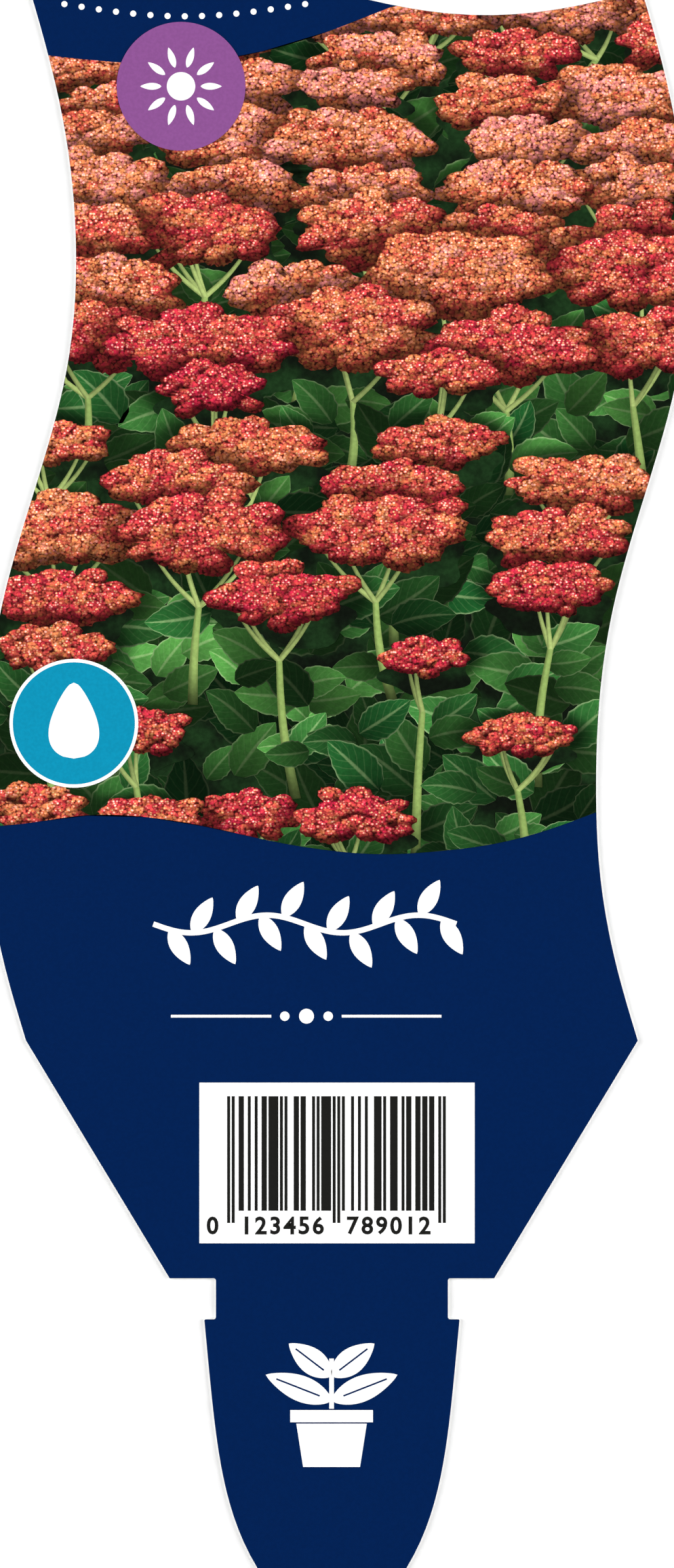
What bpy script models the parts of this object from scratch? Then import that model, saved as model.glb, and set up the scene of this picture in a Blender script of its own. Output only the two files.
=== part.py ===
"""A die-cut push-in plant label: one printed plastic sheet, lying on its back.

The sheet has a wavy body with a wavy top edge, two pointed shoulders, a notched neck
that locks in a pot's label slot, and a tapered stake. +X is the label's right, +Y runs
from the stake's tip to the top edge, and +Z is the printed face. The origin is at the
middle of the label's box, on the face that it lies on.
"""

import math

import bpy
import numpy as np

MM = 0.001

# Driving sizes, in metres.
THICKNESS = 0.5 * MM
EDGE_EASE = 0.06 * MM  # the edge that the cutting die leaves slightly rolled
BODY_WIDTH = 70.5 * MM  # level distance between the two wavy sides
SHOULDER_HEIGHT = 69.8 * MM  # of the two pointed shoulders above the stake's tip
SHOULDER_FOOT_HALF = 18.7 * MM  # half the width where the sloped flanks end
NECK_TOP = 42.4 * MM
NECK_BOTTOM = 37.8 * MM
NECK_HALF = 13.4 * MM
STAKE_HALF = 14.75 * MM  # half the stake's width at its barbs
STAKE_TAPER = 0.24  # share of the width that the stake loses evenly along its length
STAKE_POWER = 4.3  # how late the rest of the width goes, towards the tip
CORNER_RADIUS = 0.2 * MM
TIP_RADIUS = 2.5 * MM

# The line halfway between the two wavy sides: (height, sideways offset) at the places
# where its bends need one.
MIDLINE = [
    (194.2 * MM, -0.60 * MM),
    (175.5 * MM, 4.30 * MM),
    (161.1 * MM, 5.75 * MM),
    (147.4 * MM, 4.75 * MM),
    (133.4 * MM, 1.05 * MM),
    (119.3 * MM, -2.90 * MM),
    (109.2 * MM, -4.40 * MM),
    (99.1 * MM, -4.80 * MM),
    (88.1 * MM, -4.25 * MM),
    (77.2 * MM, -2.15 * MM),
    (SHOULDER_HEIGHT, 0.0),
]

# The top edge is one cosine wave across the label.
TOP_MEAN = 191.2 * MM
TOP_AMPLITUDE = 3.35 * MM
TOP_TROUGH = 17.8 * MM  # sideways place of the wave's lowest point
TOP_HALF_WAVE = 39.4 * MM

SIDE_STEPS = 60
TOP_STEPS = 30
STAKE_STEPS = 26
CORNER_STEPS = 3
CLOSEST_POINTS = 0.02 * MM


def midline(height):
    """Sideways offset of the body's middle: the natural cubic spline through MIDLINE."""
    knots, values = np.array(MIDLINE[::-1]).T
    gap = np.diff(knots)
    count = len(knots)
    system = np.eye(count)
    right = np.zeros(count)
    rise = np.diff(values) / gap
    for i in range(1, count - 1):
        system[i, i - 1 : i + 2] = gap[i - 1], 2 * (gap[i - 1] + gap[i]), gap[i]
        right[i] = 3 * (rise[i] - rise[i - 1])
    bend = np.linalg.solve(system, right)
    i = np.clip(np.searchsorted(knots, height) - 1, 0, count - 2)
    along = height - knots[i]
    slope = rise[i] - gap[i] * (2 * bend[i] + bend[i + 1]) / 3
    twist = (bend[i + 1] - bend[i]) / (3 * gap[i])
    return values[i] + slope * along + bend[i] * along**2 + twist * along**3


def top_edge(across):
    """Height of the wavy top edge at a sideways place."""
    return TOP_MEAN - TOP_AMPLITUDE * np.cos(math.pi * (across - TOP_TROUGH) / TOP_HALF_WAVE)


def top_corner(side):
    """Where the left (-1) or right (+1) side meets the top edge."""
    height = TOP_MEAN
    for _ in range(20):
        across = midline(height) + side * BODY_WIDTH / 2
        height = float(top_edge(across))
    return np.array([across, height])


def side_line(side):
    """A wavy side from just above its shoulder to just below its top corner."""
    top = top_corner(side)[1]
    heights = np.linspace(SHOULDER_HEIGHT, top, SIDE_STEPS)[1:-1]
    return np.stack([midline(heights) + side * BODY_WIDTH / 2, heights], 1)


def stake_line(side):
    """A side of the stake, from its barb to just above the tip.

    Half the width is full at the barb. It falls by STAKE_TAPER along a straight line and
    by the rest along a power of the distance, which gives the pointed arch."""
    share = np.linspace(0, 1, STAKE_STEPS)[:-1]
    half = STAKE_HALF * (1 - STAKE_TAPER * share - (1 - STAKE_TAPER) * share**STAKE_POWER)
    return np.stack([side * half, NECK_BOTTOM * (1 - share)], 1)


def fillet(before, corner, after, radius):
    """An arc that rounds a corner between two straight runs."""
    to_before = (before - corner) / np.linalg.norm(before - corner)
    to_after = (after - corner) / np.linalg.norm(after - corner)
    half_angle = math.acos(float(np.clip(to_before @ to_after, -1, 1))) / 2
    reach = radius / math.tan(half_angle)
    inward = (to_before + to_after) / np.linalg.norm(to_before + to_after)
    centre = corner + inward * radius / math.sin(half_angle)
    start = corner + to_before * reach - centre
    end = corner + to_after * reach - centre
    turn = math.atan2(start[0] * end[1] - start[1] * end[0], float(start @ end))
    angles = np.linspace(0, turn, CORNER_STEPS + 1)
    cos, sin = np.cos(angles), np.sin(angles)
    return centre + np.stack([start[0] * cos - start[1] * sin, start[0] * sin + start[1] * cos], 1)


def outline():
    """The die line, anticlockwise from the stake's tip, as an array of points."""
    runs = []

    def run(points):
        runs.append((np.atleast_2d(np.array(points, float)), 0.0))

    def corner(x, y, radius=CORNER_RADIUS):
        runs.append((np.array([[x, y]], float), radius))

    corner(0, 0, TIP_RADIUS)
    for side in (1, -1):
        lower = [
            stake_line(side)[1:][::-1],
            (side * STAKE_HALF, NECK_BOTTOM),
            (side * NECK_HALF, NECK_BOTTOM),
            (side * NECK_HALF, NECK_TOP),
            (side * SHOULDER_FOOT_HALF, NECK_TOP),
            (side * BODY_WIDTH / 2, SHOULDER_HEIGHT),
            side_line(side),
            top_corner(side),
        ]
        for piece in lower if side == 1 else lower[::-1]:
            if np.ndim(piece) == 2:
                run(piece if side == 1 else piece[::-1])
            else:
                corner(*piece)
        if side == 1:
            right, left = top_corner(1)[0], top_corner(-1)[0]
            across = np.linspace(right, left, TOP_STEPS)[1:-1]
            run(np.stack([across, top_edge(across)], 1))
    points = []
    for i, (piece, radius) in enumerate(runs):
        if radius:
            before = runs[i - 1][0][-1]
            after = runs[(i + 1) % len(runs)][0][0]
            points.append(fillet(before, piece[0], after, radius))
        else:
            points.append(piece)
    return np.concatenate(points)


def trimmed(line):
    """The die line without the points that a corner's arc has passed."""
    kept = [line[0]]
    for point in line[1:]:
        if np.linalg.norm(point - kept[-1]) > CLOSEST_POINTS:
            kept.append(point)
    return np.array(kept)


def eased(line):
    """The die line moved inwards by the edge's ease."""
    ahead = np.roll(line, -1, 0) - line
    behind = line - np.roll(line, 1, 0)
    ahead /= np.linalg.norm(ahead, axis=1)[:, None]
    behind /= np.linalg.norm(behind, axis=1)[:, None]
    inward = np.stack([-(ahead + behind)[:, 1], (ahead + behind)[:, 0]], 1)
    return line + inward / np.linalg.norm(inward, axis=1)[:, None] * EDGE_EASE


def print_material():
    """Polypropylene sheet, printed dark blue and sealed with a satin varnish."""
    material = bpy.data.materials.new("printed_sheet")
    material.use_nodes = True
    shader = material.node_tree.nodes["Principled BSDF"]
    shader.inputs["Base Color"].default_value = (0.001, 0.017, 0.089, 1)
    shader.inputs["Roughness"].default_value = 0.35
    shader.inputs["Metallic"].default_value = 0.0
    return material


def label_sheet():
    """The sheet: the die line through the thickness, with both edges slightly eased."""
    line = trimmed(outline())
    small = eased(line)
    loops = [
        (small, 0.0),
        (line, EDGE_EASE),
        (line, THICKNESS - EDGE_EASE),
        (small, THICKNESS),
    ]
    count = len(line)
    vertices = [(x, y, z) for ring, z in loops for x, y in ring]
    faces = [tuple(range(count))[::-1], tuple(range(3 * count, 4 * count))]
    for level in range(len(loops) - 1):
        for i in range(count):
            j = (i + 1) % count
            low, high = level * count, (level + 1) * count
            faces.append((low + i, low + j, high + j, high + i))
    mesh = bpy.data.meshes.new("label_sheet")
    mesh.from_pydata(vertices, [], faces)
    mesh.materials.append(print_material())
    label = bpy.data.objects.new("label_sheet", mesh)
    bpy.context.scene.collection.objects.link(label)
    middle = (line[:, 0].max() + line[:, 0].min()) / 2
    foot = (line[:, 1].max() + line[:, 1].min()) / 2
    label.location = (-middle, -foot, 0)
    return label


for leftover in list(bpy.data.objects):
    bpy.data.objects.remove(leftover)
label_sheet()
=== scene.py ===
"""A push-in plant label, printed on one side, lying on a pale floor and seen from above.

Lengths are millimetres in the part's frame: +X is the label's right, +Y its top, and the
printed face is half a millimetre above the floor. Places called pixels are counted on a
994 x 2313 frame that looks down on the label, from its top left corner.
"""

import math

import bmesh
import bpy
import numpy as np
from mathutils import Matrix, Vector


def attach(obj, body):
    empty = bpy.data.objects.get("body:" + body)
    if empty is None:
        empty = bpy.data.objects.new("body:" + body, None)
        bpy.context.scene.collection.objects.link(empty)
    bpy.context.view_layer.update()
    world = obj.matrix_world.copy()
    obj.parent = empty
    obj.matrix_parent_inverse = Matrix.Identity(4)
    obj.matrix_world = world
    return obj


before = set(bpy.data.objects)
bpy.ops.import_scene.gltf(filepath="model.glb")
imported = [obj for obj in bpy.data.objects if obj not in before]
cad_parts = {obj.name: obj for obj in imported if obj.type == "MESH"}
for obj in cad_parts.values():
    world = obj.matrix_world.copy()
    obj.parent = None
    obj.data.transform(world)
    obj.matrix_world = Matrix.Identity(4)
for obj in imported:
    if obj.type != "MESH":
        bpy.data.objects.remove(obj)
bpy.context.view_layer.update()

MM = 0.001
PIXEL = 0.078  # millimetres of label that one pixel of the frame shows
FRAME_CENTRE = (0.103, 1.699)
FRAME_HEIGHT = 2313 * PIXEL
MIDDLE_COLUMN, TIP_ROW = 489.5, 2430  # the label's middle and the stake's tip, in pixels
MIDDLE_X, TIP_Y = -0.482, -97.634  # and on the label
FACE = 0.5  # height of the printed face
INK = 0.004  # height of the first ink above the face
SEED = 7
SAME_POINT = 2e-8  # in metres: points closer than this are joined, as at the middle of a disc
SMALLEST_FACE = 1e-5  # in square millimetres: smaller faces are those that clipping has closed

# The body's outline, as the part's source gives it.
HALF_BODY = 35.25
MIDLINE_HEIGHTS = [-27.83, -20.43, -9.53, 1.47, 11.57, 21.67, 35.77, 49.77, 63.47, 77.87, 96.57]
MIDLINE_OFFSETS = [-0.48, -2.63, -4.73, -5.28, -4.88, -3.38, 0.57, 4.27, 5.27, 3.82, -1.08]
TOP_MEAN = 93.57
TOP_AMPLITUDE = 3.35
TOP_TROUGH = 17.32
TOP_HALF_WAVE = 39.4
BLEED = 0.07  # the ink ends this far inside the die line
INK_HALF = HALF_BODY - BLEED
BODY_SPAN = (-27, 95)  # heights between which the midline holds
PICTURE_HEIGHT = 100  # a first guess that picture_ground refines
SETTLE_ROUNDS = 12

# Where the picture ends, in pixels: the dark band above it and the dark ground below.
BAND_ACROSS = [-60, 42, 150, 260, 360, 460, 560, 640, 760]
BAND_DOWN = [60, 78, 90, 95, 82, 55, 17, -14, -60]
WAVE_ACROSS = [-60, 42, 122, 202, 322, 402, 482, 560, 642, 722, 802, 900]
WAVE_DOWN = [1222, 1214, 1203, 1204, 1223, 1241, 1254, 1260, 1256, 1246, 1226, 1190]


def on_label(x_pixel, y_pixel):
    """Millimetres on the label for a place in the frame's pixels."""
    across = (np.asarray(x_pixel) - MIDDLE_COLUMN) * PIXEL + MIDDLE_X
    up = (TIP_ROW - np.asarray(y_pixel)) * PIXEL + TIP_Y
    return across, up


def spline(places, values):
    """A function: the natural cubic spline through the values at the places."""
    knots, values = np.array(places, float), np.array(values, float)
    gap = np.diff(knots)
    count = len(knots)
    system, right = np.eye(count), np.zeros(count)
    slope = np.diff(values) / gap
    for i in range(1, count - 1):
        system[i, i - 1 : i + 2] = gap[i - 1], 2 * (gap[i - 1] + gap[i]), gap[i]
        right[i] = 3 * (slope[i] - slope[i - 1])
    bend = np.linalg.solve(system, right)
    lean = slope - gap * (2 * bend[:-1] + bend[1:]) / 3
    twist = np.diff(bend) / (3 * gap)

    def at(place):
        place = np.asarray(place, float)
        i = np.clip(np.searchsorted(knots, place) - 1, 0, count - 2)
        along = place - knots[i]
        return values[i] + lean[i] * along + bend[i] * along**2 + twist[i] * along**3

    return at


midline = spline(MIDLINE_HEIGHTS, MIDLINE_OFFSETS)
top_band = spline(*on_label(BAND_ACROSS, BAND_DOWN))
lower_wave = spline(*on_label(WAVE_ACROSS, WAVE_DOWN))


def label_top(x):
    """Height of the label's wavy top edge, one cosine wave, less the bleed."""
    return TOP_MEAN - TOP_AMPLITUDE * np.cos(math.pi * (x - TOP_TROUGH) / TOP_HALF_WAVE) - BLEED


def picture_top(x):
    """Upper limit of the picture: the dark top band, or the label's edge where it is lower."""
    return np.minimum(top_band(x), label_top(x))


def clipped(points):
    """Points pulled back onto the picture: between the wavy sides, then between the waves."""
    x, y = points[:, 0], points[:, 1]
    middle = midline(np.clip(y, *BODY_SPAN))
    x = np.clip(x, middle - INK_HALF, middle + INK_HALF)
    y = np.clip(y, lower_wave(x), picture_top(x))
    middle = midline(np.clip(y, *BODY_SPAN))
    return np.stack([np.clip(x, middle - INK_HALF, middle + INK_HALF), y], 1)


# Meshes


def sheet_faces(rows, columns, closed=False):
    """Quads of a grid of rows x columns points, wrapped round where the columns close."""
    index = np.arange(rows * columns).reshape(rows, columns)
    if closed:
        index = np.concatenate([index, index[:, :1]], 1)
    corners = index[:-1, :-1], index[:-1, 1:], index[1:, 1:], index[1:, :-1]
    return np.stack(corners, -1).reshape(-1, 4)


class Ink:
    """Flat shapes of one ink piece, gathered as whole arrays before they become a mesh."""

    def __init__(self):
        self.points, self.faces, self.values = [], [], {}
        self.count = 0

    def add(self, points, faces, height, clip=False, **values):
        """One shape at a height in mm above the face, with a value or an array per attribute."""
        points = np.asarray(points, float)
        if clip:
            points = clipped(points)
        level = np.full((len(points), 1), FACE + height)
        self.points.append(np.concatenate([points, level], 1))
        self.faces.append(faces + self.count)
        for name, value in values.items():
            spread = np.broadcast_to(np.asarray(value, float), (len(points),) + np.shape(value)[1:])
            self.values.setdefault(name, []).append(np.array(spread, float))
        self.count += len(points)

    def finish(self, name, material):
        """The mesh object, whose faces all look up. Faces that the clipping has closed go."""
        points = np.concatenate(self.points)
        faces = np.concatenate(self.faces)
        x, y = points[faces, 0], points[faces, 1]
        area = 0.5 * (x * np.roll(y, -1, 1) - y * np.roll(x, -1, 1)).sum(1)
        faces = np.where(area[:, None] < 0, faces[:, ::-1], faces)[np.abs(area) > SMALLEST_FACE]
        used, faces = np.unique(faces, return_inverse=True)
        faces = faces.reshape(-1, 4)
        mesh = bpy.data.meshes.new(name)
        mesh.from_pydata((points[used] * MM).tolist(), [], faces.tolist())
        for key, parts in self.values.items():
            values = np.concatenate(parts)[used]
            if key == "along":
                layer = mesh.uv_layers.new(name="along")
                loops = np.zeros(len(mesh.loops), int)
                mesh.loops.foreach_get("vertex_index", loops)
                layer.data.foreach_set("uv", values[loops].ravel())
            else:
                mesh.attributes.new(key, "FLOAT", "POINT").data.foreach_set("value", values)
        mesh.materials.append(material)
        shape = bmesh.new()
        shape.from_mesh(mesh)
        bmesh.ops.remove_doubles(shape, verts=shape.verts, dist=SAME_POINT)
        shape.to_mesh(mesh)
        shape.free()
        piece = bpy.data.objects.new(name, mesh)
        bpy.context.scene.collection.objects.link(piece)
        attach(piece, "root")
        return piece


# Materials


def linear(code):
    """sRGB hex to linear red, green, blue and 1."""
    parts = [int(code[i : i + 2], 16) / 255 for i in (1, 3, 5)]
    return [p / 12.92 if p <= 0.04045 else ((p + 0.055) / 1.055) ** 2.4 for p in parts] + [1.0]


def add(tree, kind, inputs=None, **settings):
    """Adds a node with its settings and links to a tree, and gives back its outputs.

    inputs holds, by a socket's name or number, another node's output, a number, a vector
    or an sRGB hex colour."""
    node = tree.nodes.new("ShaderNode" + kind)
    for name, value in settings.items():
        setattr(node, name, value)
    for key, value in (inputs or {}).items():
        if isinstance(value, bpy.types.NodeSocket):
            tree.links.new(value, node.inputs[key])
        else:
            node.inputs[key].default_value = linear(value) if isinstance(value, str) else value
    return node.outputs


SMOOTH = {"interpolation_type": "SMOOTHSTEP"}
COLOURS = {"data_type": "RGBA"}
TIMES = {"operation": "MULTIPLY"}
TIMES_PLUS = {"operation": "MULTIPLY_ADD"}
VARNISH_ROUGHNESS = 0.3
VARNISH_SPECULAR = 0.1  # the varnish reflects little when the light is low at the sides


def varnished(name, roughness=VARNISH_ROUGHNESS, specular=VARNISH_SPECULAR):
    """A new material with the finish of the label's satin varnish, and its node tree."""
    material = bpy.data.materials.new(name)
    material.use_nodes = True
    shader = material.node_tree.nodes["Principled BSDF"]
    shader.inputs["Roughness"].default_value = roughness
    shader.inputs["Specular IOR Level"].default_value = specular
    return material, material.node_tree


def coloured(material, colour):
    """The material, with a node's output as its base colour."""
    tree = material.node_tree
    tree.links.new(colour, tree.nodes["Principled BSDF"].inputs["Base Color"])
    return material


def counted(tree, across, up=None):
    """Object coordinates counted in steps of so many millimetres across and up."""
    steps = 1 / (across * MM), 1 / ((up or across) * MM), 1 / (across * MM)
    return add(tree, "Mapping", {"Vector": add(tree, "TexCoord")["Object"], "Scale": steps})[0]


def mottled(tree, colour, share=0.05, size=0.35):
    """The colour, up to that share lighter and darker over noise of a size in millimetres.

    It is the unevenness of offset print, where the ink lies thicker and thinner on the
    sheet's grain. The real grain is too fine to show, so it is drawn coarser."""
    noise = add(tree, "TexNoise", {"Vector": counted(tree, size), "Scale": 1.0, "Detail": 3.0})[0]
    amount = add(tree, "MapRange", {0: noise, 1: 0.3, 2: 0.7, 3: 1 - share, 4: 1 + share}, **SMOOTH)[0]
    return add(tree, "Mix", {0: 1.0, 6: colour, 7: amount}, blend_type="MULTIPLY", **COLOURS)[2]


def solid_ink(name, code, share=0.05):
    """Offset ink printed solid. It is even, with a faint mottle under the satin varnish."""
    material, tree = varnished(name)
    return coloured(material, mottled(tree, code, share))


NAVY = "#001F50"


def sheet_material():
    """White polypropylene sheet, printed dark blue on its face and sealed with satin varnish.

    The eye gets a deep even blue with a faint mottle, and a white cut edge and back with
    the grain that the rollers leave, drawn coarser than it is so that it shows."""
    material, tree = varnished("printed_polypropylene_sheet")
    height = add(tree, "SeparateXYZ", {0: add(tree, "TexCoord")["Object"]})[2]
    face = add(tree, "Math", {0: height, 1: (FACE - INK) * MM}, operation="GREATER_THAN")[0]
    grain = add(tree, "TexNoise", {"Vector": counted(tree, 0.5), "Scale": 1.0, "Detail": 4.0})[0]
    cloudy = add(tree, "MapRange", {0: grain, 1: 0.35, 2: 0.65}, **SMOOTH)[0]
    plastic = add(tree, "Mix", {0: cloudy, 6: "#EDEEEC", 7: "#F8F8F6"}, **COLOURS)[2]
    colour = add(tree, "Mix", {0: face, 6: plastic, 7: mottled(tree, NAVY)}, **COLOURS)[2]
    bump = add(tree, "Bump", {"Strength": 0.15, "Distance": 0.01 * MM, "Height": grain})[0]
    tree.links.new(bump, tree.nodes["Principled BSDF"].inputs["Normal"])
    return coloured(material, colour)


SPECK_SIZE = (0.29, 0.26)
TUFT_SIZE = (1.45, 0.95)  # a small cluster within the clusters that flower_head shapes

# A head's colour from crimson through brick red and orange to pink.
PETAL_COLOURS = [
    (0.0, "#AC1E3A"),
    (0.3, "#B63438"),
    (0.5, "#BC4C3E"),
    (0.68, "#C66A42"),
    (0.84, "#D0804C"),
    (1.0, "#E0807C"),
]


def flower_material():
    """Four-colour print of a head of tiny star flowers.

    The eye gets speckle: pink, cream and gold points on brick red, with dark wine gaps
    between, over the light and shade of the clusters. A speck stands for a petal or for a
    flower's heart."""
    material, tree = varnished("flower_print")
    lit = add(tree, "Attribute", attribute_name="lit")["Fac"]
    tint = add(tree, "Attribute", attribute_name="tint")["Fac"]
    flower = add(tree, "TexVoronoi", {"Vector": counted(tree, *SPECK_SIZE), "Scale": 1.0})
    lot = add(tree, "SeparateColor", {0: flower["Color"]})  # three chance numbers a flower
    swing = add(tree, "Math", {0: lot[0], 1: 0.4, 2: -0.2}, **TIMES_PLUS)[0]
    hue = add(tree, "Math", {0: tint, 1: swing}, operation="ADD")[0]
    petals = add(tree, "ValToRGB", {0: hue})[0]
    ramp = petals.node.color_ramp.elements
    for place, _ in PETAL_COLOURS[1:-1]:
        ramp.new(place)
    for stop, (place, code) in zip(ramp, PETAL_COLOURS):
        stop.position, stop.color = place, linear(code)
    between = add(tree, "MapRange", {0: flower["Distance"], 1: 0.5, 2: 0.9}, **SMOOTH)[0]
    body = add(tree, "Mix", {0: between, 6: petals, 7: "#4A1512"}, **COLOURS)[2]
    open_now = add(tree, "MapRange", {0: lot[1], 1: 0.42, 2: 0.85}, **SMOOTH)[0]
    in_light = add(tree, "MapRange", {0: lit, 1: 0.15, 2: 0.75}, **SMOOTH)[0]
    heart = add(tree, "MapRange", {0: flower["Distance"], 1: 0.55, 2: 0.2}, **SMOOTH)[0]
    shows = add(tree, "Math", {0: open_now, 1: in_light}, **TIMES)[0]
    shows = add(tree, "Math", {0: shows, 1: heart}, **TIMES)[0]
    star = add(tree, "Mix", {0: lot[2], 6: "#EBBB80", 7: "#EEB0A4"}, **COLOURS)[2]
    body = add(tree, "Mix", {0: shows, 6: body, 7: star}, **COLOURS)[2]
    where = {"Vector": counted(tree, *TUFT_SIZE), "Scale": 1.0}
    inside = add(tree, "TexVoronoi", where, feature="DISTANCE_TO_EDGE")[0]
    tuft = add(tree, "MapRange", {0: inside, 1: 0.0, 2: 0.2, 3: 0.54, 4: 1.08}, **SMOOTH)[0]
    shade = add(tree, "MapRange", {0: lit, 1: -0.05, 2: 1.0, 3: 0.18, 4: 1.74}, **SMOOTH)[0]
    spread = add(tree, "Math", {0: lot[2], 1: 0.45, 2: 0.8}, **TIMES_PLUS)[0]
    light = add(tree, "Math", {0: shade, 1: tuft}, **TIMES)[0]
    light = add(tree, "Math", {0: light, 1: spread}, **TIMES)[0]
    return coloured(material, add(tree, "VectorMath", {0: body, "Scale": light}, operation="SCALE")[0])


SIDE_VEINS = 7.0
VEIN_SLANT = 2.2  # how many side veins a vein passes on its way out to the margin


def leaf_material():
    """Four-colour print of a fleshy leaf with blunt teeth.

    The eye gets a paler midrib and margin, faint side veins, and one half of the blade
    lighter than the other."""
    material, tree = varnished("leaf_print")
    lit = add(tree, "Attribute", attribute_name="lit")["Fac"]
    tint = add(tree, "Attribute", attribute_name="tint")["Fac"]
    place = add(tree, "SeparateXYZ", {0: add(tree, "UVMap", uv_map="along")[0]})
    across = add(tree, "Math", {0: place[1], 1: 2.0, 2: -1.0}, **TIMES_PLUS)[0]
    out = add(tree, "Math", {0: across}, operation="ABSOLUTE")[0]
    green = add(tree, "Mix", {0: tint, 6: "#1B5828", 7: "#5C9E48"}, **COLOURS)[2]
    length = add(tree, "Math", {0: place[0], 1: SIDE_VEINS}, **TIMES)[0]
    slant = add(tree, "Math", {0: out, 1: -VEIN_SLANT, 2: length}, **TIMES_PLUS)[0]
    wave = add(tree, "Math", {0: slant, 1: 0.5}, operation="PINGPONG")[0]
    vein = add(tree, "MapRange", {0: wave, 1: 0.12, 2: 0.0, 3: 0.0, 4: 0.14}, **SMOOTH)[0]
    green = add(tree, "Mix", {0: vein, 6: green, 7: "#8FB878"}, **COLOURS)[2]
    rib = add(tree, "MapRange", {0: out, 1: 0.12, 2: 0.03, 3: 0.0, 4: 0.4}, **SMOOTH)[0]
    green = add(tree, "Mix", {0: rib, 6: green, 7: "#A9C98A"}, **COLOURS)[2]
    margin = add(tree, "MapRange", {0: out, 1: 0.88, 2: 0.98, 3: 0.0, 4: 0.42}, **SMOOTH)[0]
    green = add(tree, "Mix", {0: margin, 6: green, 7: "#B9D49A"}, **COLOURS)[2]
    halves = add(tree, "MapRange", {0: across, 1: -0.25, 2: 0.25, 3: 0.82, 4: 1.12}, **SMOOTH)[0]
    shade = add(tree, "MapRange", {0: lit, 1: 0.04, 2: 0.95, 3: 0.09, 4: 1.34}, **SMOOTH)[0]
    light = add(tree, "Math", {0: halves, 1: shade}, **TIMES)[0]
    green = add(tree, "VectorMath", {0: green, "Scale": light}, operation="SCALE")[0]
    return coloured(material, mottled(tree, green, 0.12, 0.4))


def stem_material():
    """Four-colour print of a round fleshy stem: pale yellow-green, darker to both sides."""
    material, tree = varnished("stem_print")
    lit = add(tree, "Attribute", attribute_name="lit")["Fac"]
    tint = add(tree, "Attribute", attribute_name="tint")["Fac"]
    place = add(tree, "SeparateXYZ", {0: add(tree, "UVMap", uv_map="along")[0]})
    off_ridge = add(tree, "Math", {0: place[1], 1: 0.4}, operation="SUBTRACT")[0]
    out = add(tree, "Math", {0: off_ridge}, operation="ABSOLUTE")[0]
    green = add(tree, "Mix", {0: tint, 6: "#7FA352", 7: "#B3BE78"}, **COLOURS)[2]
    sides = add(tree, "MapRange", {0: out, 1: 0.1, 2: 0.6, 3: 1.15, 4: 0.55}, **SMOOTH)[0]
    shade = add(tree, "MapRange", {0: lit, 1: 0.0, 2: 0.8, 3: 0.1, 4: 1.1}, **SMOOTH)[0]
    light = add(tree, "Math", {0: sides, 1: shade}, **TIMES)[0]
    green = add(tree, "VectorMath", {0: green, "Scale": light}, operation="SCALE")[0]
    return coloured(material, mottled(tree, green, 0.1, 0.5))


SHADE_LEAF_SIZE = (5.0, 3.2)


def ground_material():
    """Four-colour print of the deep shade between plants: near-black with soft dark leaves."""
    material, tree = varnished("shade_print")
    where = {"Vector": counted(tree, *SHADE_LEAF_SIZE), "Scale": 1.0}
    large = add(tree, "TexVoronoi", where, feature="SMOOTH_F1")[0]
    fine = add(tree, "TexNoise", {"Vector": counted(tree, 1.6), "Scale": 1.0, "Detail": 4.0})[0]
    soft = add(tree, "Math", {0: fine, 1: 0.6, 2: large}, **TIMES_PLUS)[0]
    leafy = add(tree, "MapRange", {0: soft, 1: 0.95, 2: 0.4}, **SMOOTH)[0]
    colour = add(tree, "Mix", {0: leafy, 6: "#0B120A", 7: "#1A3419"}, **COLOURS)[2]
    return coloured(material, mottled(tree, colour, 0.2, 0.6))


# The picture

chance = np.random.default_rng(SEED)
TURN = 2 * math.pi
GOLDEN_ANGLE = 2.39996
RINGS, SPOKES = 24, 124  # points from the middle of a head to its rim, and round it
LEAF_POINTS = (15, 7)  # along and across
STEM_POINTS = (14, 5)
STEM_SHARE = np.repeat(np.linspace(0, 1, STEM_POINTS[0]), STEM_POINTS[1])  # foot 0 to tip 1
FIELD_POINTS = (120, 60)  # up and across
LEAF_TEETH = 38  # the margin's ripple turns by this angle from foot to tip
ROW_RISE = 0.0052  # each row of plants is printed this far above the row behind it

# Heights of a row's shapes above the row's own level, so that no two share a plane.
GAP_STEP = 0.00005
LEAF_LEVEL, LEAF_STEP, LEAF_LEVELS = 0.0006, 0.0001, 24
STEM_LEVEL, STEM_STEP = 0.0032, 0.0001
HEAD_LEVEL, HEAD_STEP = 0.0038, 0.0002
BEHIND_STEP = 0.00003


def picture_ground():
    """The picture's whole field: across from side to side, up from the wave to the band."""
    up, across = FIELD_POINTS
    s, t = np.meshgrid(np.linspace(0, 1, across), np.linspace(0, 1, up))
    x = (2 * s - 1) * INK_HALF
    y = t * PICTURE_HEIGHT
    for _ in range(SETTLE_ROUNDS):
        y = lower_wave(x) + t * (picture_top(x) - lower_wave(x))
        x = midline(y) + (2 * s - 1) * INK_HALF
    ink = Ink()
    ink.add(np.stack([x.ravel(), y.ravel()], 1), sheet_faces(up, across), INK)
    return ink.finish("picture_ground", ground_material())


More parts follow.
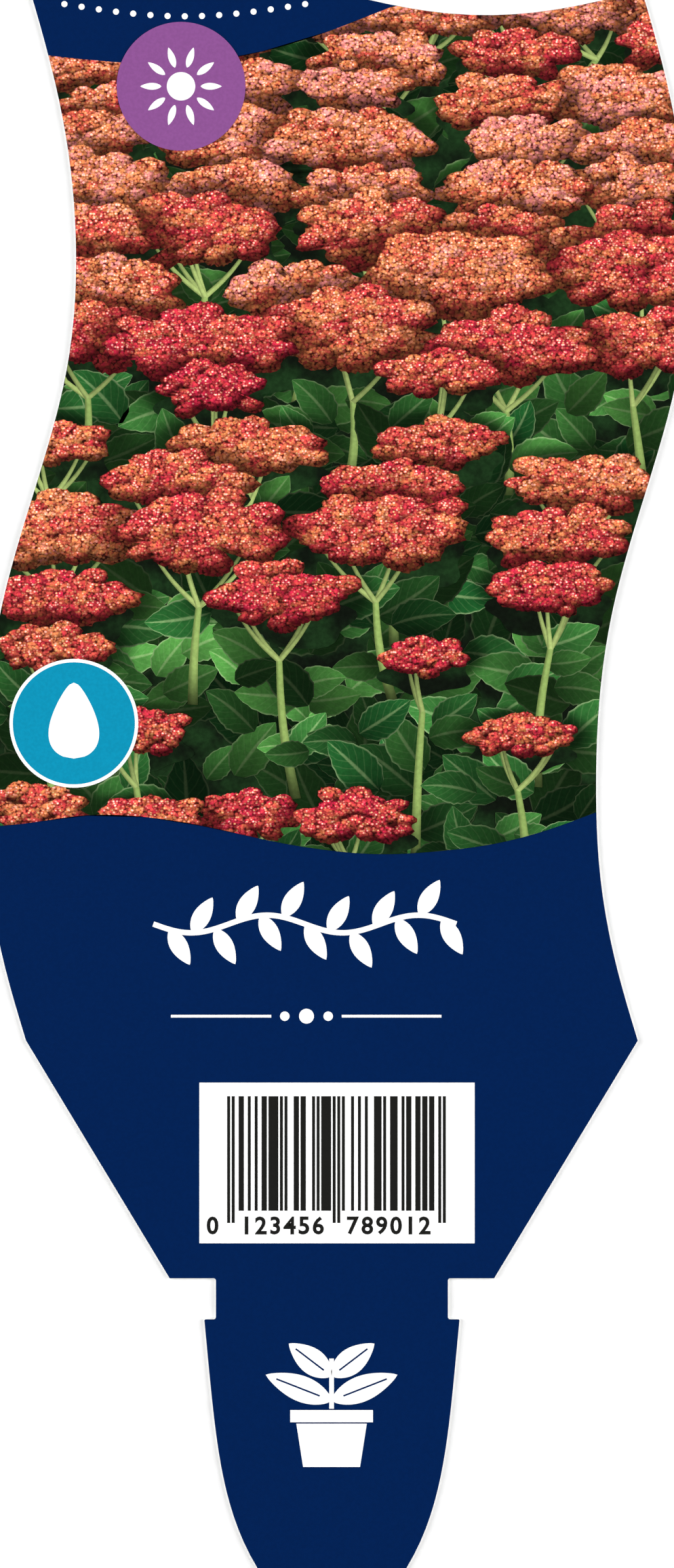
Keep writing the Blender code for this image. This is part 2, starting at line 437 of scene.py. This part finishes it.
def head_clusters(half_width, half_height):
    """Places, sizes and tints of a head's clusters, on a sunflower spiral.

    Cluster k of n lies at k golden angles round the flattened disc, at sqrt(k / n) of its
    radius, moved a little at random. A larger head has more of them."""
    count = int(24 + half_width * 1.9)
    order = np.arange(count) + 0.5
    turn = order * GOLDEN_ANGLE + chance.uniform(0, 6.28)
    out = np.sqrt(order / count)
    across, up = out * np.cos(turn) * half_width * 0.84, out * np.sin(turn) * half_height * 0.74
    places = np.stack([across, up], 1)
    places += chance.normal(0, 0.05, places.shape) * half_width
    size = half_width * chance.uniform(0.15, 0.24, count)
    return places, np.stack([size, size * 0.6], 1), chance.uniform(-0.24, 0.24, count)


def behind(points, nearer):
    """How much light is left at points near heads that stand in front, from 0.2 to 1.

    A head darkens what lies within 1.45 times its own ellipse, most at its rim."""
    light = np.ones(len(points))
    for x, y, width, depth in nearer:
        out = np.hypot((points[:, 0] - x) / width, (points[:, 1] - y) / depth)
        share = np.clip((out - 0.9) / 0.55, 0, 1)
        light = np.minimum(light, 0.2 + 0.8 * share * share * (3 - 2 * share))
    return light


def flower_head(name, centre, half_width, half_height, tint, height, material, nearer):
    """A flat-topped flower head as a patch of rings round its centre.

    A ray at each angle ends where it leaves the furthest cluster's ellipse, with a bump
    for each flower on the rim. A point is lit by the dome of the cluster that owns it, the
    front one where several cover it, and darker low on each cluster, low on the head and
    behind the heads in front."""
    places, sizes, tints = head_clusters(half_width, half_height)
    angle = np.linspace(0, TURN, SPOKES, endpoint=False)
    ray = np.stack([np.cos(angle), np.sin(angle)], 1)
    scaled_ray = ray[:, None, :] / sizes[None]
    scaled_place = places / sizes
    a = (scaled_ray**2).sum(2)
    b = (scaled_ray * scaled_place).sum(2)
    c = (scaled_place**2).sum(1) - 1
    root = b**2 - a * c
    leaves_at = np.where(root > 0, (b + np.sqrt(np.maximum(root, 0))) / a, 0)
    reach = leaves_at.max(1) * (1 + chance.normal(0, 0.02, SPOKES))
    share = np.linspace(0, 1, RINGS) ** 0.8
    local = share[:, None, None] * (ray * reach[:, None])[None]
    local = local.reshape(-1, 2)
    offset = (local[:, None] - places[None]) / sizes[None]
    far = (offset**2).sum(2)
    dome = np.sqrt(np.maximum(1 - far, 0))
    rank = np.where(far < 1, 10 - places[None, :, 1] / half_height + 0.9 * dome, -far)
    owner = rank.argmax(1)
    index = np.arange(len(local))
    normal_x, normal_y = offset[index, owner].T
    up = dome[index, owner]
    low = np.clip(-local[:, 1] / half_height - 0.25, 0, 1)
    lit = 0.02 - 0.28 * normal_x + 0.5 * normal_y + 0.66 * up
    lit = lit + 0.2 * local[:, 1] / half_height - 0.35 * low
    lit = np.where(far[index, owner] < 1, lit, 0.0) * behind(local + centre, nearer)
    ink = Ink()
    hue = np.clip(tint + tints[owner], 0, 1)
    faces = sheet_faces(RINGS, SPOKES, closed=True)
    ink.add(local + centre, faces, height, clip=True, lit=lit, tint=hue)
    return ink.finish(name, material)


def leaf(ink, foot, angle, length, width, lit, tint, height, nearer=()):
    """A leaf: an ovate blade along a bent midrib, with blunt teeth on its margin.

    The half width is width x sin(pi u^0.75)^0.8, with a ripple of six teeth, and the
    midrib turns evenly by a small angle from foot to tip."""
    steps, lanes = LEAF_POINTS
    u, v = np.meshgrid(np.linspace(0.0, 1, steps), np.linspace(-1, 1, lanes), indexing="ij")
    bend = chance.uniform(-0.5, 0.5)
    half = width * np.maximum(np.sin(math.pi * u**0.75), 0) ** 0.8
    half = half * (1 + 0.05 * np.sin(LEAF_TEETH * u)) + 0.06
    turn = angle + bend * u
    chord = angle + bend * u / 2
    along = np.stack([np.cos(chord) * length * u, np.sin(chord) * length * u], -1)
    side = np.stack([-np.sin(turn), np.cos(turn)], -1) * (half * v)[..., None]
    points = (along + side).reshape(-1, 2) + foot
    uv = np.stack([u.ravel(), (v.ravel() + 1) / 2], 1)
    glow = lit * (0.4 + 0.65 * u.ravel()) * behind(points, nearer)
    ink.add(points, sheet_faces(steps, lanes), height, clip=True, along=uv, lit=glow, tint=tint)


def stem(ink, foot, tip, width, bow, lit, tint, height):
    """A stem: a ribbon on a curve from foot to tip that bows sideways by bow x sin(pi u)."""
    steps, lanes = STEM_POINTS
    u, v = np.meshgrid(np.linspace(0, 1, steps), np.linspace(-1, 1, lanes), indexing="ij")
    foot, tip = np.array(foot), np.array(tip)
    way = tip - foot
    across = np.array([-way[1], way[0]]) / np.linalg.norm(way)
    middle = foot + u[..., None] * way + (bow * np.sin(math.pi * u))[..., None] * across
    points = middle + (v * width / 2 * (1.25 - 0.5 * u))[..., None] * across
    uv = np.stack([u.ravel(), (v.ravel() + 1) / 2], 1)
    points = points.reshape(-1, 2)
    ink.add(points, sheet_faces(steps, lanes), height, clip=True, along=uv, lit=lit, tint=tint)


# Rows of plants from the back, in pixels: the row's place down the frame, heads across,
# first and last place across, half the width of a head, its colour from crimson (0) to
# pink (1), how far the foliage shows below, and how light it is.
ROWS = [
    (14, 5, 500, 1000, 100, 0.72, 60, 0.5),
    (76, 5, 110, 980, 104, 0.62, 90, 0.6),
    (142, 5, 150, 920, 104, 0.74, 110, 0.65),
    (206, 5, 110, 980, 116, 0.84, 90, 0.65),
    (276, 5, 140, 930, 118, 0.68, 110, 0.65),
    (346, 5, 110, 960, 122, 0.62, 100, 0.65),
    (416, 4, 180, 920, 132, 0.60, 120, 0.7),
    (490, 5, 110, 930, 126, 0.50, 170, 0.5),
    (566, 2, 300, 640, 96, 0.28, 190, 0.6),
    (646, 3, 90, 650, 106, 0.48, 170, 0.65),
    (712, 3, 250, 850, 118, 0.50, 190, 0.6),
    (786, 4, 60, 800, 122, 0.40, 190, 0.6),
    (872, 3, 110, 790, 108, 0.32, 250, 0.55),
    (968, 2, 60, 640, 86, 0.40, 270, 0.55),
    (1085, 2, 190, 780, 78, 0.36, 180, 0.5),
    (1212, 4, 60, 520, 100, 0.42, 60, 0.45),
]


UNDERGROWTH_LEAVES = 150
LOW_FOLIAGE = 900  # below this row of pixels the leaves are darker green


def undergrowth():
    """Dark leaves at random places low in the picture, behind the plants."""
    blades = Ink()
    for k in range(UNDERGROWTH_LEAVES):
        place = on_label(chance.uniform(10, 960), chance.uniform(520, 1270))
        turn = chance.uniform(0, math.pi)
        glow, tone = chance.uniform(0.0, 0.24), chance.uniform(0, 0.5)
        long = chance.uniform(5, 9)
        level = INK + LEAF_LEVEL + BEHIND_STEP * k
        leaf(blades, np.array(place), turn, long, long * 0.3, glow, tone, level)
    blades.finish("leaves_behind", leaf_material())


def dark_gap(ink, centre, half_width, half_height, height):
    """The shade under a head: a flattened disc whose rim ripples by a tenth."""
    r, a = np.meshgrid([0.0, 1.0], np.linspace(0, TURN, 40, endpoint=False), indexing="ij")
    r = r * (1 + 0.1 * np.sin(5 * a + centre[0]))
    points = np.stack([r * np.cos(a) * half_width, r * np.sin(a) * half_height], -1).reshape(-1, 2)
    ink.add(points + centre, sheet_faces(2, 40, closed=True), height, clip=True)


def layout():
    """For each row, its heads as (x, y, half width, half height, tint), the highest first."""
    rows = []
    for y, across, first, last, half, hue, _, _ in ROWS:
        places = np.linspace(first, last, across)
        places = places + chance.uniform(-0.16, 0.16, across) * (last - first) / max(across, 2)
        heads = []
        for place, lift in zip(places, chance.uniform(-18, 18, across)):
            x, top = on_label(place, y + lift)
            width = half * chance.uniform(0.82, 1.18) * PIXEL
            depth = width * chance.uniform(0.38, 0.5)
            heads.append((x, top, width, depth, hue + chance.uniform(-0.18, 0.18)))
        rows.append(sorted(heads, key=lambda head: -head[1]))
    return rows


def plants():
    """Row after row from the back: shade, leaves and stems first, then the heads over them."""
    flowers = flower_material()
    leaves = leaf_material()
    stems = stem_material()
    shades = ground_material()
    rows = layout()
    total = 0
    for number, heads in enumerate(rows):
        y, *_, foliage, light = ROWS[number]
        base = INK + (number + 1) * ROW_RISE
        gaps, blades, stalks = Ink(), Ink(), Ink()
        nearer = [head[:4] for later in rows[number + 1 :] for head in later]
        drawn = 0
        for order, (x, top, width, depth, _) in enumerate(heads):
            level = base + GAP_STEP * (order + 1)
            dark_gap(gaps, (x, top - depth * 0.75), width * 0.92, depth * 0.85, level)
            length = foliage * PIXEL
            foot = np.array([x + chance.uniform(-1.5, 1.5), top - depth - length])
            knee = np.array([x + chance.uniform(-0.6, 0.6), top - depth - 0.4 * min(length, 9)])
            level = base + STEM_LEVEL
            glow = (light + 0.12) * 0.85 * np.clip(0.1 + 2.2 * STEM_SHARE, 0, 1)
            stem(stalks, foot, knee, 0.95, chance.uniform(-0.5, 0.5), glow, 0.3, level)
            for k in range(chance.integers(3, 6)):
                spread = chance.uniform(-0.62, 0.62)
                tip = (x + spread * width, top - 0.5 * depth)
                glow = (light + chance.uniform(-0.1, 0.2)) * (1 - 0.55 * STEM_SHARE)
                stem(stalks, knee, tip, 0.5, -spread * 0.6, glow, 0.6, level + STEM_STEP * (k + 1))
            for k in range(int(3 + foliage / 15)):
                up = chance.uniform(0.0, 1.0)
                stray = chance.normal(0, 1.4 + 1.2 * (foliage > 100), 2) * (1.6, 0.5)
                start = foot + up * (knee - foot) + stray
                angle = math.pi / 2 - chance.choice([-1, 1]) * chance.uniform(0.5, 1.9)
                long = chance.uniform(4.8, 8.6)
                glow = light * chance.uniform(0.05, 1.7)
                tone = chance.uniform(0.0, 0.8) * (0.6 if y > LOW_FOLIAGE else 1.0)
                level = base + LEAF_LEVEL + LEAF_STEP * (drawn % LEAF_LEVELS)
                leaf(blades, start, angle, long, long * 0.29, glow, tone, level, nearer)
                drawn += 1
        gaps.finish(f"shade_{number:02d}", shades)
        blades.finish(f"leaves_{number:02d}", leaves)
        stalks.finish(f"stems_{number:02d}", stems)
        for order, (x, top, width, depth, tint) in enumerate(heads):
            total += 1
            front = nearer + [head[:4] for head in heads[order + 1 :]]
            level = base + HEAD_LEVEL + HEAD_STEP * order
            flower_head(f"head_{total:02d}", (x, top), width, depth, tint, level, flowers, front)


# The printed marks, whose places and sizes are in pixels

MARKS = 0.1  # height of the marks above the face, over the picture's last row
TEXT_INK = 0.004  # height of marks on the plain ground
OVER = 0.003  # a mark that lies on another is this far above it
ROUND_STEPS = 96
BLADE_STEPS = 25
DROP_STEPS = 40


def disc(ink, centre, radius, height):
    """A disc: two rings of points, at its middle and at its rim."""
    turn = np.linspace(0, TURN, ROUND_STEPS, endpoint=False)
    r, a = np.meshgrid([0.0, radius], turn, indexing="ij")
    points = np.stack([r * np.cos(a), r * np.sin(a)], -1).reshape(-1, 2) + centre
    ink.add(points, sheet_faces(2, ROUND_STEPS, closed=True), height)


def blade(ink, foot, tip, width, height):
    """A plain pointed leaf from foot to tip: half width x sin(pi u^0.85)^0.8 either side."""
    foot, tip = np.array(foot, float), np.array(tip, float)
    u, v = np.meshgrid(np.linspace(0, 1, BLADE_STEPS), [-1.0, 1.0], indexing="ij")
    way = tip - foot
    across = np.array([-way[1], way[0]]) / np.linalg.norm(way)
    half = width / 2 * np.maximum(np.sin(math.pi * u**0.85), 0) ** 0.8 + 0.01
    points = foot + u[..., None] * way + (half * v)[..., None] * across
    ink.add(points.reshape(-1, 2), sheet_faces(BLADE_STEPS, 2), height)


def ribbon(ink, x, y, width, height):
    """A line of even width along a path of points, square to the path at each."""
    path = np.stack([x, y], 1)
    way = np.gradient(path, axis=0)
    across = np.stack([-way[:, 1], way[:, 0]], 1) / np.linalg.norm(way, axis=1)[:, None]
    points = np.stack([path - across * width / 2, path + across * width / 2], 1)
    ink.add(points.reshape(-1, 2), sheet_faces(len(path), 2), height)


def box(ink, left, top, right, bottom, height):
    """A rectangle from its corners in the frame's pixels."""
    x, y = on_label([left, right, right, left], [bottom, bottom, top, top])
    ink.add(np.stack([x, y], 1), np.array([[0, 1, 2, 3]]), height)


PURPLE_CENTRE = (267, 127.5)
TEAL_CENTRE = (109, 1067)
BADGE_RADIUS = 95
RIM_WIDTH = 5
SUN_RADIUS = 21
SUN_RAYS = 10
RAY_REACH = (29, 60)  # a ray's two ends, from the sun's middle
RAY_WIDTH = 10
DROP_FOOT, DROP_HEIGHT = 52, 112  # how far the drop starts below the badge's middle; its height
DROP_HALF = 50


def badges(white):
    """The two round badges on the picture: a sun on purple, and a drop on blue-green."""
    centre = np.array(on_label(*PURPLE_CENTRE))
    purple = Ink()
    disc(purple, centre, BADGE_RADIUS * PIXEL, MARKS)
    purple.finish("purple_disc", solid_ink("purple_ink", "#8A5190"))
    sun = Ink()
    disc(sun, centre, SUN_RADIUS * PIXEL, MARKS + OVER)
    for k in range(SUN_RAYS):
        a = TURN * k / SUN_RAYS
        way = np.array([math.cos(a), math.sin(a)])
        near, far = [centre + way * reach * PIXEL for reach in RAY_REACH]
        blade(sun, near, far, RAY_WIDTH * PIXEL, MARKS + OVER)
    sun.finish("sun_mark", white)
    centre = np.array(on_label(*TEAL_CENTRE))
    rim = Ink()
    disc(rim, centre, BADGE_RADIUS * PIXEL, MARKS)
    rim.finish("badge_rim", white)
    teal = Ink()
    disc(teal, centre, (BADGE_RADIUS - RIM_WIDTH) * PIXEL, MARKS + OVER)
    teal.finish("teal_disc", solid_ink("blue_green_ink", "#0B8FB3"))
    drop_mark(centre, white)


def drop_mark(centre, white):
    """A drop: an ellipse's half width, sqrt(4 u (1 - u)), narrowed by 0.62 u towards its tip."""
    drop = Ink()
    u, v = np.meshgrid(np.linspace(0, 1, DROP_STEPS), [-1.0, 1.0], indexing="ij")
    half = DROP_HALF * PIXEL * np.sqrt(np.maximum(u * (1 - u) * 4, 0)) * (1 - 0.62 * u)
    x = centre[0] + half * v
    y = centre[1] - DROP_FOOT * PIXEL + DROP_HEIGHT * PIXEL * u
    drop.add(np.stack([x.ravel(), y.ravel()], 1), sheet_faces(DROP_STEPS, 2), MARKS + 2 * OVER)
    drop.finish("drop_mark", white)


SPRIG_LEFT, SPRIG_RIGHT = 226, 673
SPRIG_DOWN, SPRIG_WAVE = 1363, 13  # its middle, and how far it swings in its two waves
SPRIG_LEAVES = np.linspace(250, 652, 13)
LEAF_LEAN, LEAF_RISE, LEAF_WIDTH = 30, 52, 26
RULE_DOWN, RULE_HALF = 1499, 2
RULE_LINES = ((252, 400), (504, 651))
RULE_BEADS = ((420, 7), (452, 11), (484, 7))  # place across and radius
DOTS = np.linspace(95, 450, 15)
DOTS_DOWN, DOTS_SAG, DOT_RADIUS = 6, 18, 4.5


def ornaments(white):
    """Plain garden ornaments on the dark ground: a leafy sprig, a beaded rule, and dots."""

    def sprig_down(x):
        return SPRIG_DOWN + SPRIG_WAVE * np.sin((x - SPRIG_LEFT) / (SPRIG_RIGHT - SPRIG_LEFT) * 2 * TURN)

    sprig = Ink()
    x = np.linspace(SPRIG_LEFT, SPRIG_RIGHT, 90)
    ribbon(sprig, *on_label(x, sprig_down(x)), 8 * PIXEL, TEXT_INK)
    for k, place in enumerate(SPRIG_LEAVES):
        start = sprig_down(place)
        rise = -LEAF_RISE if k % 2 else LEAF_RISE
        foot, tip = on_label(place, start), on_label(place + LEAF_LEAN, start + rise)
        blade(sprig, foot, tip, LEAF_WIDTH * PIXEL, TEXT_INK + 0.002)
    sprig.finish("sprig_ornament", white)
    rule = Ink()
    for left, right in RULE_LINES:
        box(rule, left, RULE_DOWN - RULE_HALF, right, RULE_DOWN + RULE_HALF, TEXT_INK)
    for place, radius in RULE_BEADS:
        disc(rule, np.array(on_label(place, RULE_DOWN)), radius * PIXEL, TEXT_INK)
    rule.finish("rule_ornament", white)
    dots = Ink()
    for place in DOTS:
        sag = math.sin((place - DOTS[0]) / (DOTS[-1] - DOTS[0]) * math.pi)
        disc(dots, np.array(on_label(place, DOTS_DOWN + DOTS_SAG * sag)), DOT_RADIUS * PIXEL, TEXT_INK)
    dots.finish("dot_ornament", white)


PANEL = (294, 1597, 700, 1834)
MODULE = 3.384
CODE_LEFT = 335.5
BARS_TOP, BARS_FOOT, GUARDS_FOOT = 1617, 1786, 1804
INK_GAIN = 1.1  # by how much the ink widens each bar as it spreads
# Widths of the four stripes of each digit from 0 to 9, in modules.
STRIPES = ["3211", "2221", "2122", "1411", "1132", "1231", "1114", "1312", "1213", "3112"]
FIRST_DIGIT, LEFT_DIGITS, RIGHT_DIGITS = "0", "123456", "789012"
DIGIT_FOOT, DIGIT_HEIGHT = 1821, 26.5
DIGIT_WEIGHT = 0.026  # by how much the font's strokes are thickened


def code_panel(white):
    """A retail bar code of plain counting digits, by the code's own seven-module rule."""
    dark = solid_ink("black_ink", "#1D1D1B")
    panel = Ink()
    box(panel, *PANEL, TEXT_INK)
    panel.finish("code_panel", white)
    bars = Ink()

    def draw(position, pattern, dark_first, bottom):
        for k, width in enumerate(int(stripe) for stripe in pattern):
            if (k % 2 == 0) == dark_first:
                left = CODE_LEFT + position * MODULE - INK_GAIN / 2
                right = CODE_LEFT + (position + width) * MODULE + INK_GAIN / 2
                box(bars, left, BARS_TOP, right, bottom, TEXT_INK + OVER)
            position += width
        return position

    position = draw(0, "111", True, GUARDS_FOOT)
    for digit in LEFT_DIGITS:
        position = draw(position, STRIPES[int(digit)], False, BARS_FOOT)
    position = draw(position, "11111", False, GUARDS_FOOT)
    for digit in RIGHT_DIGITS:
        position = draw(position, STRIPES[int(digit)], True, BARS_FOOT)
    draw(position, "111", True, GUARDS_FOOT)
    bars.finish("code_bars", dark)
    groups = [(FIRST_DIGIT, 304, 323), (LEFT_DIGITS, 353, 480), (RIGHT_DIGITS, 510, 637)]
    digits("code_digits", groups, dark)


def numeral(letter):
    """A numeral of the built-in outline font: its flat points in the font's units, and its faces."""
    curve = bpy.data.curves.new("numeral", "FONT")
    curve.body = letter
    curve.resolution_u, curve.offset = 4, DIGIT_WEIGHT
    source = bpy.data.objects.new("numeral", curve)
    bpy.context.scene.collection.objects.link(source)
    bpy.context.view_layer.update()
    mesh = bpy.data.meshes.new_from_object(source)
    bpy.data.objects.remove(source)
    flat = np.zeros(len(mesh.vertices) * 3)
    mesh.vertices.foreach_get("co", flat)
    faces = [list(face.vertices) for face in mesh.polygons]
    bpy.data.meshes.remove(mesh)
    bpy.data.curves.remove(curve)
    return flat.reshape(-1, 3)[:, :2], faces


def digits(name, groups, material):
    """Numerals made a mesh, each scaled to one height and centred in its share of the group."""
    points, faces, count = [], [], 0
    for text, left, right in groups:
        step = (right - left) / len(text)
        for k, letter in enumerate(text):
            flat, corners = numeral(letter)
            size = flat.max(0) - flat.min(0)
            flat = (flat - flat.min(0)) / size[1] * DIGIT_HEIGHT * PIXEL
            middle = (flat[:, 0].max() + flat[:, 0].min()) / 2
            x, y = on_label(left + (k + 0.5) * step, DIGIT_FOOT)
            level = np.full((len(flat), 1), FACE + TEXT_INK + OVER)
            points.append(np.concatenate([flat + (x - middle, y), level], 1))
            faces += [[v + count for v in face] for face in corners]
            count += len(flat)
    mesh = bpy.data.meshes.new(name)
    mesh.from_pydata((np.concatenate(points) * MM).tolist(), [], faces)
    mesh.materials.append(material)
    piece = bpy.data.objects.new(name, mesh)
    bpy.context.scene.collection.objects.link(piece)
    shape = bmesh.new()
    shape.from_mesh(mesh)
    shape.normal_update()
    turned = [face for face in shape.faces if face.normal.z < 0]
    bmesh.ops.reverse_faces(shape, faces=turned)
    shape.to_mesh(mesh)
    shape.free()
    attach(piece, "root")


STAKE_MIDDLE = 489
POT_RIM = (428, 2080, 550, 2098)
POT_ACROSS, POT_DOWN = [447, 531, 541, 437], [2164, 2164, 2100, 2100]
SHOOT_FOOT, SHOOT_TIP = 2078, 2004
SEEDLING_LEAVES = ((2066, 97, 38), (2030, 63, 48))  # where a pair starts, how far out and up


def stake_mark(white):
    """A potted seedling on the stake: a tapered pot with a rim, a shoot and four leaves."""
    mark = Ink()
    pot = np.stack(on_label(POT_ACROSS, POT_DOWN), 1)
    mark.add(pot, np.array([[0, 1, 2, 3]]), TEXT_INK)
    box(mark, *POT_RIM, TEXT_INK)
    shoot = on_label(np.full(12, float(STAKE_MIDDLE)), np.linspace(SHOOT_FOOT, SHOOT_TIP, 12))
    ribbon(mark, *shoot, 7 * PIXEL, TEXT_INK)
    leaves = []
    for down, out, up in SEEDLING_LEAVES:
        foot = (STAKE_MIDDLE, down)
        leaves += [(foot, (STAKE_MIDDLE + side * out, down - up)) for side in (1, -1)]
    for foot, tip in leaves:
        blade(mark, on_label(*foot), on_label(*tip), 38 * PIXEL, TEXT_INK + 0.002)
    mark.finish("seedling_mark", white)
    veins = Ink()
    share = np.linspace(0.18, 0.84, 10)
    for foot, tip in leaves:
        x = foot[0] + share * (tip[0] - foot[0])
        y = foot[1] + share * (tip[1] - foot[1])
        ribbon(veins, *on_label(x, y), 2.4 * PIXEL, TEXT_INK + 0.005)
    veins.finish("seedling_veins", solid_ink("dark_blue_ink", NAVY))


# The studio, in metres

FLOOR_HALF = 1.5
FLOOR_DROP = 0.00002  # the floor is this far below the label's back
LAMP_SIDE = 1.2
LAMP_POWER = 24.6
LAMP_PLACE = (1.3, 0.15, 1.05)
# The sky is pale up to the sine of one height and falls to dim at another. The dark ink
# faces the dim part, so it keeps its depth.
SKY_LOW, SKY_HIGH = 0.08, 0.6
SKY_PALE, SKY_DIM = 0.85, 0.1
LENS, SENSOR = 100, 36


def board_material():
    """Pale matt board, with a faint cloudiness of its fibres."""
    material, tree = varnished("pale_board", roughness=0.9)
    grain = add(tree, "TexNoise", {"Vector": counted(tree, 3.0), "Scale": 1.0, "Detail": 3.0})[0]
    fibres = add(tree, "MapRange", {0: grain, 1: 0.3, 2: 0.7}, **SMOOTH)[0]
    colour = add(tree, "Mix", {0: fibres, 6: "#F7F7F7", 7: "#FAFAFA"}, **COLOURS)[2]
    return coloured(material, colour)


def studio():
    """Pale floor, two broad soft lights low at the sides, a pale sky, and the camera above."""
    floor_mesh = bpy.data.meshes.new("floor")
    ends = [(-1, -1), (1, -1), (1, 1), (-1, 1)]
    corners = [(x * FLOOR_HALF, y * FLOOR_HALF, -FLOOR_DROP) for x, y in ends]
    floor_mesh.from_pydata(corners, [], [(0, 1, 2, 3)])
    floor = bpy.data.objects.new("floor", floor_mesh)
    bpy.context.scene.collection.objects.link(floor)
    floor_mesh.materials.append(board_material())
    for name, side in (("light_left", -1), ("light_right", 1)):
        light = bpy.data.lights.new(name, "AREA")
        light.shape, light.size, light.energy = "SQUARE", LAMP_SIDE, LAMP_POWER
        lamp = bpy.data.objects.new(name, light)
        lamp.location = Vector((side * LAMP_PLACE[0], *LAMP_PLACE[1:]))
        lamp.rotation_euler = (-lamp.location).to_track_quat("-Z", "Y").to_euler()
        bpy.context.scene.collection.objects.link(lamp)
    world = bpy.data.worlds.new("studio")
    bpy.context.scene.world = world
    world.use_nodes = True
    sky = world.node_tree
    up = add(sky, "SeparateXYZ", {0: add(sky, "TexCoord")["Generated"]})[2]
    limits = {0: up, 1: SKY_LOW, 2: SKY_HIGH, 3: SKY_PALE, 4: SKY_DIM}
    fade = add(sky, "MapRange", limits, **SMOOTH)[0]
    background = sky.nodes["Background"]
    background.inputs["Color"].default_value = linear("#FFFFFF")
    sky.links.new(fade, background.inputs["Strength"])
    view = bpy.context.scene.view_settings
    view.view_transform, view.look = "Standard", "None"
    camera = bpy.data.cameras.new("camera")
    camera.lens, camera.sensor_width = LENS, SENSOR
    eye = bpy.data.objects.new("camera", camera)
    distance = FRAME_HEIGHT * LENS / SENSOR
    eye.location = (FRAME_CENTRE[0] * MM, FRAME_CENTRE[1] * MM, (FACE + distance) * MM)
    bpy.context.scene.collection.objects.link(eye)
    bpy.context.scene.camera = eye


studio()
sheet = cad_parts["label_sheet"]
sheet.data.materials.clear()
sheet.data.materials.append(sheet_material())
white_ink = solid_ink("white_ink", "#FCFCFC", 0.015)
picture_ground()
undergrowth()
plants()
badges(white_ink)
ornaments(white_ink)
code_panel(white_ink)
stake_mark(white_ink)
